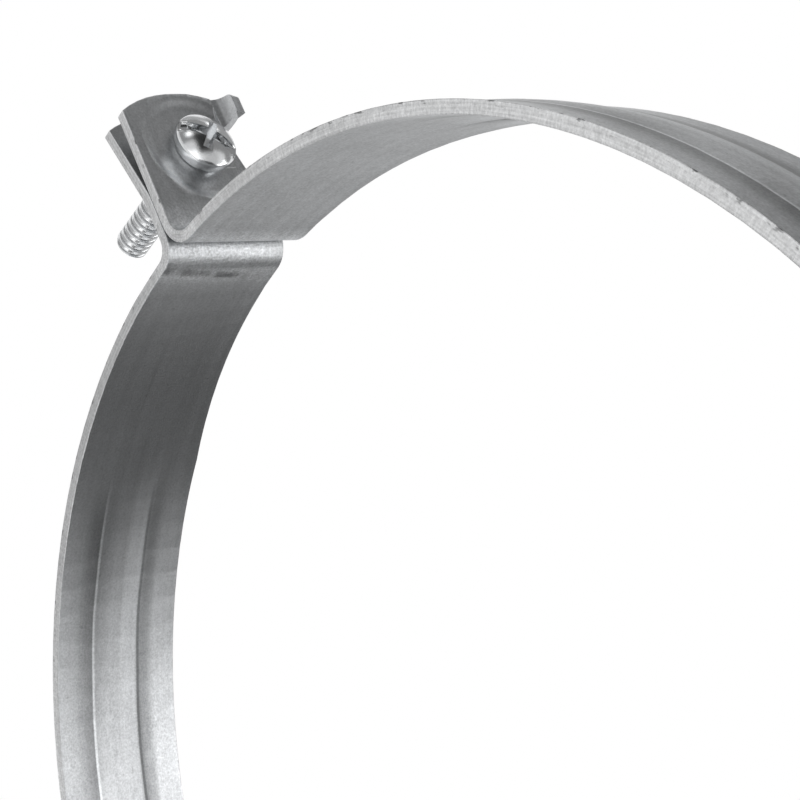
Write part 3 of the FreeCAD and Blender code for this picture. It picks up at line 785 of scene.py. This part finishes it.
def pressRib(bm, spec):  # gives the rib its shallow form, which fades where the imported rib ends
    side = 1.0 if max(vert.co.z for vert in bm.verts) > spec["probe"] else -1.0
    table = ribTable(bm, spec, side)
    for outward in (False, True):
        bmesh.ops.triangulate(bm, faces=bandSkin(bm, spec, outward))
        for cut in spec["cuts"]:
            for way in (-1.0, 1.0):
                cutFaces(bm, bandSkin(bm, spec, outward), (0.0, way * cut * mm, 0.0), (0.0, 1.0, 0.0))
        for degree in range(spec["fromDegree"], spec["toDegree"], spec["step"]):
            turn = math.radians(side * degree)
            normal = (-math.sin(turn), 0.0, math.cos(turn))
            cutFaces(bm, bandSkin(bm, spec, outward), (0.0, 0.0, 0.0), normal)
        skin = spec["outer"] if outward else spec["inner"]
        verts = {vert for face in bandSkin(bm, spec, outward) for vert in face.verts}
        for vert in verts:
            reach = math.hypot(vert.co.x, vert.co.z)
            degree = math.degrees(math.atan2(side * vert.co.z, vert.co.x))
            before = min(max(int(degree), 0), 179)
            share = table[before] + (table[before + 1] - table[before]) * (degree - before)
            wanted = skin + share * ribRise(vert.co.y, spec)
            vert.co.x *= wanted / reach
            vert.co.z *= wanted / reach


def makeStrip(nodeName, pieceName, material, strip):
    bm = startFrom(nodeName)
    edge = stripEdge
    roundEdges(bm, edge["width"], edge["segments"], edge["angle"], lambda middle: not onLip(middle))
    if strip["hasCup"]:
        roundEdges(bm, edge["fineWidth"], edge["fineSegments"], edge["angle"], onLip)
        pressCup(bm, softCup)
    pressRib(bm, ribForm)
    return finishPiece(bm, nodeName, pieceName, material)


makeStrip("base_half", "baseHalf", baseSteel, baseStrip)
makeStrip("cover_half", "coverHalf", coverSteel, coverStrip)
print("strip halves made")

# connection nut with a tapped bore

nutThread = {
    "bore": 4.25 * mm,
    "boreSlack": 2e-5,
    "depth": 0.55 * mm,
    "pitch": 1.5 * mm,
    "root": 0.16,
    "flank": 0.70,
    "fade": 1.2 * mm,
    "sides": 48,
    "steps": 12,
    "edge": 0.22 * mm,
    "edgeSegments": 2,
    "edgeAngle": 25,
}


def threadShape(share, spec):  # height of the thread flank, 0 at the root and 1 at the crest
    rise = abs(share % 1.0 - 0.5) * 2.0
    return softStep(within((rise - spec["root"]) / spec["flank"]))


def joinRings(bm, rings):
    for low, high in zip(rings, rings[1:]):
        for side in range(len(low)):
            after = (side + 1) % len(low)
            bm.faces.new((low[side], low[after], high[after], high[side]))


def isBore(face, spec):
    reaches = [math.hypot(vert.co.x, vert.co.y) for vert in face.verts]
    return all(abs(reach - spec["bore"]) < spec["boreSlack"] for reach in reaches)


def makeNut(nodeName, pieceName, spec):
    bm = startFrom(nodeName)
    bore = [face for face in bm.faces if isBore(face, spec)]
    low = min(vert.co.z for face in bore for vert in face.verts)
    high = max(vert.co.z for face in bore for vert in face.verts)
    bmesh.ops.delete(bm, geom=bore, context="FACES")
    roundEdges(bm, spec["edge"], spec["edgeSegments"], spec["edgeAngle"], lambda middle: True)
    count = int((high - low) / spec["pitch"] * spec["steps"])
    rings = []
    for level in range(count + 1):
        height = low + (high - low) * level / count
        fade = min(1.0, (height - low) / spec["fade"], (high - height) / spec["fade"])
        ring = []
        for side in range(spec["sides"]):
            angle = -2.0 * math.pi * side / spec["sides"]
            share = height / spec["pitch"] + side / spec["sides"]
            radius = spec["bore"] + spec["depth"] * fade * threadShape(share, spec)
            ring.append(bm.verts.new((radius * math.cos(angle), radius * math.sin(angle), height)))
        rings.append(ring)
    joinRings(bm, rings)
    return finishPiece(bm, nodeName, pieceName, nutSteel)


makeNut("connection_nut", "connectionNut", nutThread)
print("nut made")

# closure screws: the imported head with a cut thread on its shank

screwThread = {
    "major": 3.0 * mm,
    "depth": 0.48 * mm,
    "pitch": 1.5 * mm,
    "root": 0.08,
    "flank": 0.46,
    "from": -1.05 * mm,
    "to": 26.8 * mm,
    "chamfer": 0.7 * mm,
    "sides": 72,
    "steps": 18,
    "headCut": -0.95 * mm,
    "rim": 4.5 * mm,
    "rimEdge": 0.26 * mm,
    "rimSegments": 3,
    "sharpAngle": 28,
}


def addThread(bm, centerX, spec):
    count = int((spec["to"] - spec["from"]) / spec["pitch"] * spec["steps"])
    rings = []
    for level in range(count + 1):
        height = spec["from"] + (spec["to"] - spec["from"]) * level / count
        limit = spec["major"] - max(0.0, height - (spec["to"] - spec["chamfer"]))
        ring = []
        for side in range(spec["sides"]):
            angle = 2.0 * math.pi * side / spec["sides"]
            share = height / spec["pitch"] - side / spec["sides"]
            radius = spec["major"] - spec["depth"] * (1.0 - threadShape(share, spec))
            radius = min(radius, limit)
            ring.append(bm.verts.new((centerX + radius * math.cos(angle), radius * math.sin(angle), height)))
        rings.append(ring)
    joinRings(bm, rings)
    bm.faces.new(rings[-1])
    bm.faces.new(list(reversed(rings[0])))


def makeScrew(nodeName, pieceName, spec):
    low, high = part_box(nodeName)
    centerX = (low.x + high.x) / 2.0
    bm = startFrom(nodeName)
    everything = bm.verts[:] + bm.edges[:] + bm.faces[:]
    level = (0, 0, spec["headCut"])
    cut = bmesh.ops.bisect_plane(bm, geom=everything, plane_co=level, plane_no=(0, 0, 1), clear_outer=True)
    rim = [item for item in cut["geom_cut"] if isinstance(item, bmesh.types.BMEdge)]
    bmesh.ops.contextual_create(bm, geom=rim)

    def isRim(middle):
        return math.hypot(middle.x - centerX, middle.y) > spec["rim"]

    roundEdges(bm, spec["rimEdge"], spec["rimSegments"], spec["sharpAngle"], isRim)
    sharp = math.radians(spec["sharpAngle"])
    for edge in bm.edges:  # the drive recess keeps crisp edges
        if edge.calc_face_angle(0.0) > sharp and not isRim(edgeMiddle(edge)):
            edge.smooth = False
    addThread(bm, centerX, spec)
    return finishPiece(bm, nodeName, pieceName, screwZinc)


makeScrew("closure_screw_right", "closureScrewRight", screwThread)
makeScrew("closure_screw_left", "closureScrewLeft", screwThread)
print("closure screws cut")

# floor, cards, lamps, world and camera

floorLook = {
    "height": -0.26,
    "size": 12.0,
    "tone": (0.80, 0.80, 0.80, 1.0),
    "rough": 0.9,
    "gloss": 0.1,
    "fade": (0.45, 1.6),
    "lift": 0.5,
}


def makePlane(name, halfX, halfY):
    mesh = bpy.data.meshes.new(name)
    corners = [(-halfX, -halfY, 0), (halfX, -halfY, 0), (halfX, halfY, 0), (-halfX, halfY, 0)]
    mesh.from_pydata(corners, [], [(0, 1, 2, 3)])
    plane = bpy.data.objects.new(name, mesh)
    bpy.context.scene.collection.objects.link(plane)
    return plane


def mixShaders(tree, factor, first, second):
    mixed = addNode(tree, "ShaderNodeMixShader")
    tree.links.new(factor, mixed.inputs[0])
    tree.links.new(first.outputs[0], mixed.inputs[1])
    tree.links.new(second.outputs[0], mixed.inputs[2])
    return mixed.outputs[0]


def makeFloor(spec):
    floor = makePlane("studioFloor", spec["size"] / 2.0, spec["size"] / 2.0)
    floor.location.z = spec["height"]
    material, tree, shader = newMaterial("paleFloor")
    place = addNode(tree, "ShaderNodeTexCoord").outputs["Object"]
    far = addNode(tree, "ShaderNodeVectorMath", operation="LENGTH")
    tree.links.new(place, far.inputs[0])
    fade = ramp(tree, far.outputs["Value"], *spec["fade"])
    seen = addNode(tree, "ShaderNodeLightPath").outputs["Is Camera Ray"]
    fade = larger(tree, fade, times(tree, seen, spec["lift"]))
    shader.inputs["Base Color"].default_value = spec["tone"]
    shader.inputs["Roughness"].default_value = spec["rough"]
    shader.inputs["Specular IOR Level"].default_value = spec["gloss"]
    glow = addNode(tree, "ShaderNodeEmission")
    glow.inputs["Strength"].default_value = 1.0
    tree.links.new(mixShaders(tree, fade, shader, glow), tree.nodes["Material Output"].inputs["Surface"])
    floor.data.materials.append(material)


makeFloor(floorLook)

cardSoft = 0.06  # width over which a card's edge fades out

cardSet = [
    {"name": "backCard", "at": (-0.44, 0.38, 0.21), "aim": (0.09, 0.0, 0.02),
     "size": (0.90, 0.72), "level": 0.046, "soft": 0.16},
    {"name": "lowCard", "at": (0.31, 0.21, -0.25), "aim": (0.31, 0.21, 0.10),
     "size": (0.42, 0.44), "level": 0.28},
    {"name": "farCard", "at": (0.13, 0.56, -0.252), "aim": (0.13, 0.56, 0.10),
     "size": (0.75, 0.42), "level": 0.30},
    {"name": "outCard", "at": (0.86, 0.14, -0.254), "aim": (0.86, 0.14, 0.10),
     "size": (0.66, 0.70), "level": 0.32},
    {"name": "sparkCard", "at": (0.30, -0.05, -0.236), "aim": (0.30, -0.05, 0.10),
     "size": (0.06, 0.05), "level": 2.4},
    {"name": "wideCard", "at": (0.34, -0.09, -0.247), "aim": (0.34, -0.09, 0.10),
     "size": (0.26, 0.22), "level": 0.30},
    {"name": "skylineCard", "at": (1.25, 0.42, -0.12), "aim": (0.12, 0.0, 0.0),
     "size": (0.90, 0.30), "level": 0.45},
    {"name": "underCard", "at": (-0.13, 0.27, -0.24), "aim": (0.03, 0.0, 0.09),
     "size": (0.32, 0.24), "level": 2.9},
    {"name": "horizonCard", "at": (0.45, 0.61, -0.07), "aim": (0.04, 0.0, -0.09),
     "size": (0.62, 0.40), "level": 0.38},
    {"name": "nearCard", "at": (-0.10, 0.10, -0.245), "aim": (-0.10, 0.10, 0.10),
     "size": (0.36, 0.16), "level": 0.60},
    {"name": "domeCard", "at": (0.18, 0.04, -0.24), "aim": (0.18, 0.04, 0.10),
     "size": (0.20, 0.14), "level": 0.03},
    {"name": "glintCard", "at": (0.60, 0.45, -0.24), "aim": (0.12, 0.0, 0.0),
     "size": (0.16, 0.20), "level": 2.2},
    {"name": "rimCard", "at": (-0.04, -0.14, -0.245), "aim": (-0.04, -0.14, 0.10),
     "size": (0.30, 0.22), "level": 1.5},
    {"name": "frontCard", "at": (0.30, -0.34, 0.52), "aim": (0.07, 0.0, 0.0),
     "size": (0.60, 0.40), "level": 0.42},
    {"name": "leftCard", "at": (-0.17, -0.50, 0.30), "aim": (0.0, 0.0, 0.0),
     "size": (0.40, 0.40), "level": 0.58},
    {"name": "sideCard", "at": (-0.27, -0.16, 0.41), "aim": (0.12, 0.0, 0.0),
     "size": (0.34, 0.30), "level": 0.08},
    {"name": "topCard", "at": (0.03, 0.40, 0.46), "aim": (0.10, 0.0, -0.02),
     "size": (0.55, 0.46), "level": 0.56},
    {"name": "overCard", "at": (0.34, 0.14, 0.60), "aim": (0.12, 0.0, 0.01),
     "size": (0.34, 0.42), "level": 0.05},
]


def aimAt(thing, target):
    away = Vector(thing.location) - Vector(target)
    thing.rotation_mode = "QUATERNION"
    thing.rotation_quaternion = away.to_track_quat("Z", "Y")


def makeCard(spec):  # a glowing card with soft edges, seen only in reflections
    soft = spec.get("soft", cardSoft)
    halfX = (spec["size"][0] + soft) / 2.0
    halfY = (spec["size"][1] + soft) / 2.0
    card = makePlane(spec["name"], halfX, halfY)
    card.location = spec["at"]
    aimAt(card, spec["aim"])
    material, tree, shader = newMaterial(spec["name"])
    glow = addNode(tree, "ShaderNodeEmission")
    glow.inputs["Strength"].default_value = spec["level"]
    place = addNode(tree, "ShaderNodeTexCoord")
    parts = addNode(tree, "ShaderNodeSeparateXYZ")
    tree.links.new(place.outputs["Object"], parts.inputs[0])
    sideX = fadeOut(tree, calc(tree, "ABSOLUTE", parts.outputs[0]), halfX - soft, halfX)
    sideY = fadeOut(tree, calc(tree, "ABSOLUTE", parts.outputs[1]), halfY - soft, halfY)
    clear = addNode(tree, "ShaderNodeBsdfTransparent")
    mixed = mixShaders(tree, times(tree, sideX, sideY), clear, glow)
    tree.links.new(mixed, tree.nodes["Material Output"].inputs["Surface"])
    tree.nodes.remove(shader)
    card.data.materials.append(material)
    card.visible_camera = False
    card.visible_diffuse = False
    card.visible_shadow = False


for cardSpec in cardSet:
    makeCard(cardSpec)

lampSet = [
    {"name": "keyLamp", "at": (-0.55, -0.50, 0.45), "aim": (0.0, 0.0, 0.0), "size": 0.90, "power": 4.0},
    {"name": "topLamp", "at": (0.10, 0.25, 0.80), "aim": (0.0, 0.0, 0.0), "size": 0.90, "power": 3.5},
]


def makeLamp(spec):
    data = bpy.data.lights.new(spec["name"], "AREA")
    data.shape = "SQUARE"
    data.size = spec["size"]
    data.energy = spec["power"]
    lamp = bpy.data.objects.new(spec["name"], data)
    lamp.location = spec["at"]
    bpy.context.scene.collection.objects.link(lamp)
    aimAt(lamp, spec["aim"])


for lampSpec in lampSet:
    makeLamp(lampSpec)

worldLook = {"color": (1.0, 1.0, 1.0, 1.0), "shown": 1.0, "fill": 0.60}


def makeSky(tree, color, level):
    sky = addNode(tree, "ShaderNodeBackground")
    sky.inputs["Color"].default_value = color
    sky.inputs["Strength"].default_value = level
    return sky


def makeWorld(spec):
    world = bpy.data.worlds.new("studioWorld")
    bpy.context.scene.world = world
    world.use_nodes = True
    tree = world.node_tree
    tree.nodes.clear()
    path = addNode(tree, "ShaderNodeLightPath")
    shown = larger(tree, path.outputs["Is Camera Ray"], path.outputs["Is Glossy Ray"])
    shown = larger(tree, shown, path.outputs["Is Transmission Ray"])
    fill = makeSky(tree, spec["color"], spec["fill"])
    white = makeSky(tree, spec["color"], spec["shown"])
    out = addNode(tree, "ShaderNodeOutputWorld")
    tree.links.new(mixShaders(tree, shown, fill, white), out.inputs["Surface"])


makeWorld(worldLook)

cameraSet = {
    "at": (-0.01984, -0.15365, -0.18171),
    "right": (-0.3865, 0.7577, -0.5259),
    "forward": (0.3460, 0.6477, 0.6788),
    "lens": 72.68,
    "sensor": 36.0,
    "near": 0.01,
    "far": 50.0,
}


def makeCamera(spec):
    data = bpy.data.cameras.new("photoCamera")
    data.lens = spec["lens"]
    data.sensor_width = spec["sensor"]
    data.clip_start = spec["near"]
    data.clip_end = spec["far"]
    camera = bpy.data.objects.new("photoCamera", data)
    bpy.context.scene.collection.objects.link(camera)
    forward = Vector(spec["forward"]).normalized()
    right = Vector(spec["right"])
    right = (right - forward * right.dot(forward)).normalized()
    up = right.cross(forward)
    turn = Matrix((right, up, -forward)).transposed()
    camera.matrix_world = Matrix.Translation(spec["at"]) @ turn.to_4x4()
    bpy.context.scene.camera = camera


makeCamera(cameraSet)
bpy.context.scene.view_settings.view_transform = "Standard"
print("studio set")
